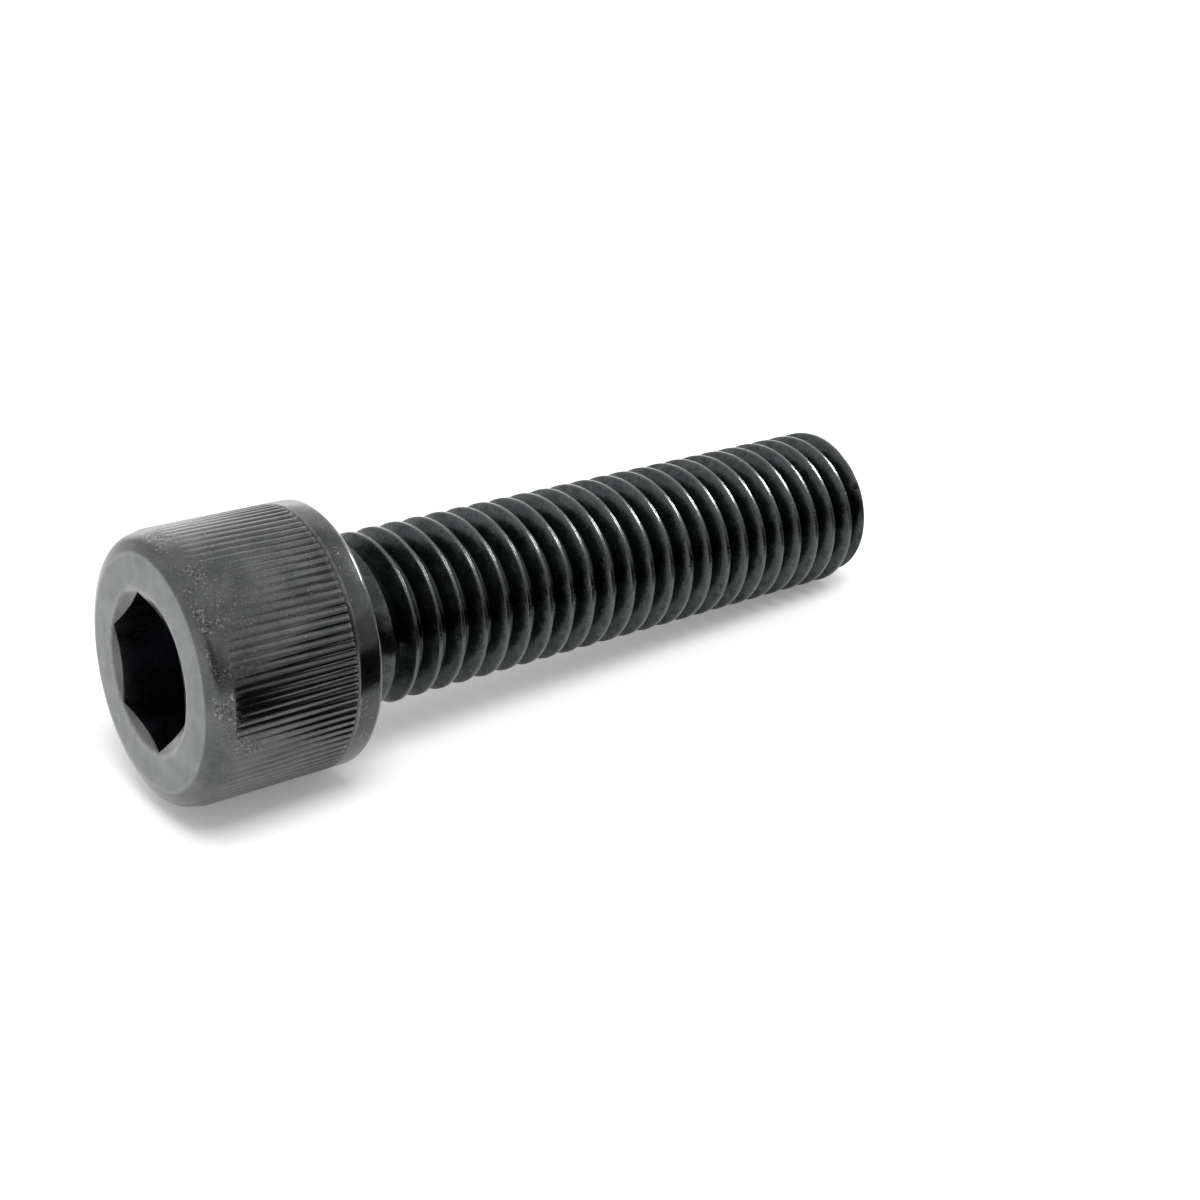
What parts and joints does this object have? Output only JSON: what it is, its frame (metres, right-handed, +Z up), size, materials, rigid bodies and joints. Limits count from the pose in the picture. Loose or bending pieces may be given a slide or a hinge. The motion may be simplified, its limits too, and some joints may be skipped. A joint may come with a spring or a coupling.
{
  "type": "socket head cap screw",
  "caption": "Black steel socket head cap screw lying on its side: knurled round head with a hexagon socket, fully threaded shank and chamfered point.",
  "frame": {"origin": "centre of the bearing face under the head", "axes": "+X along the shank from the head towards the point, +Z up, +Y across; the screw lies on its side at rest, so its axis dips 3.7 degrees below +X towards the point"},
  "size_m": [0.0642, 0.019, 0.0197],
  "materials": {
    "black_oxide_steel": "black oxide over alloy steel, satin, with fine nicks"
  },
  "bodies": {
    "root": {"cap_screw": "black_oxide_steel"}
  },
  "joints": []
}
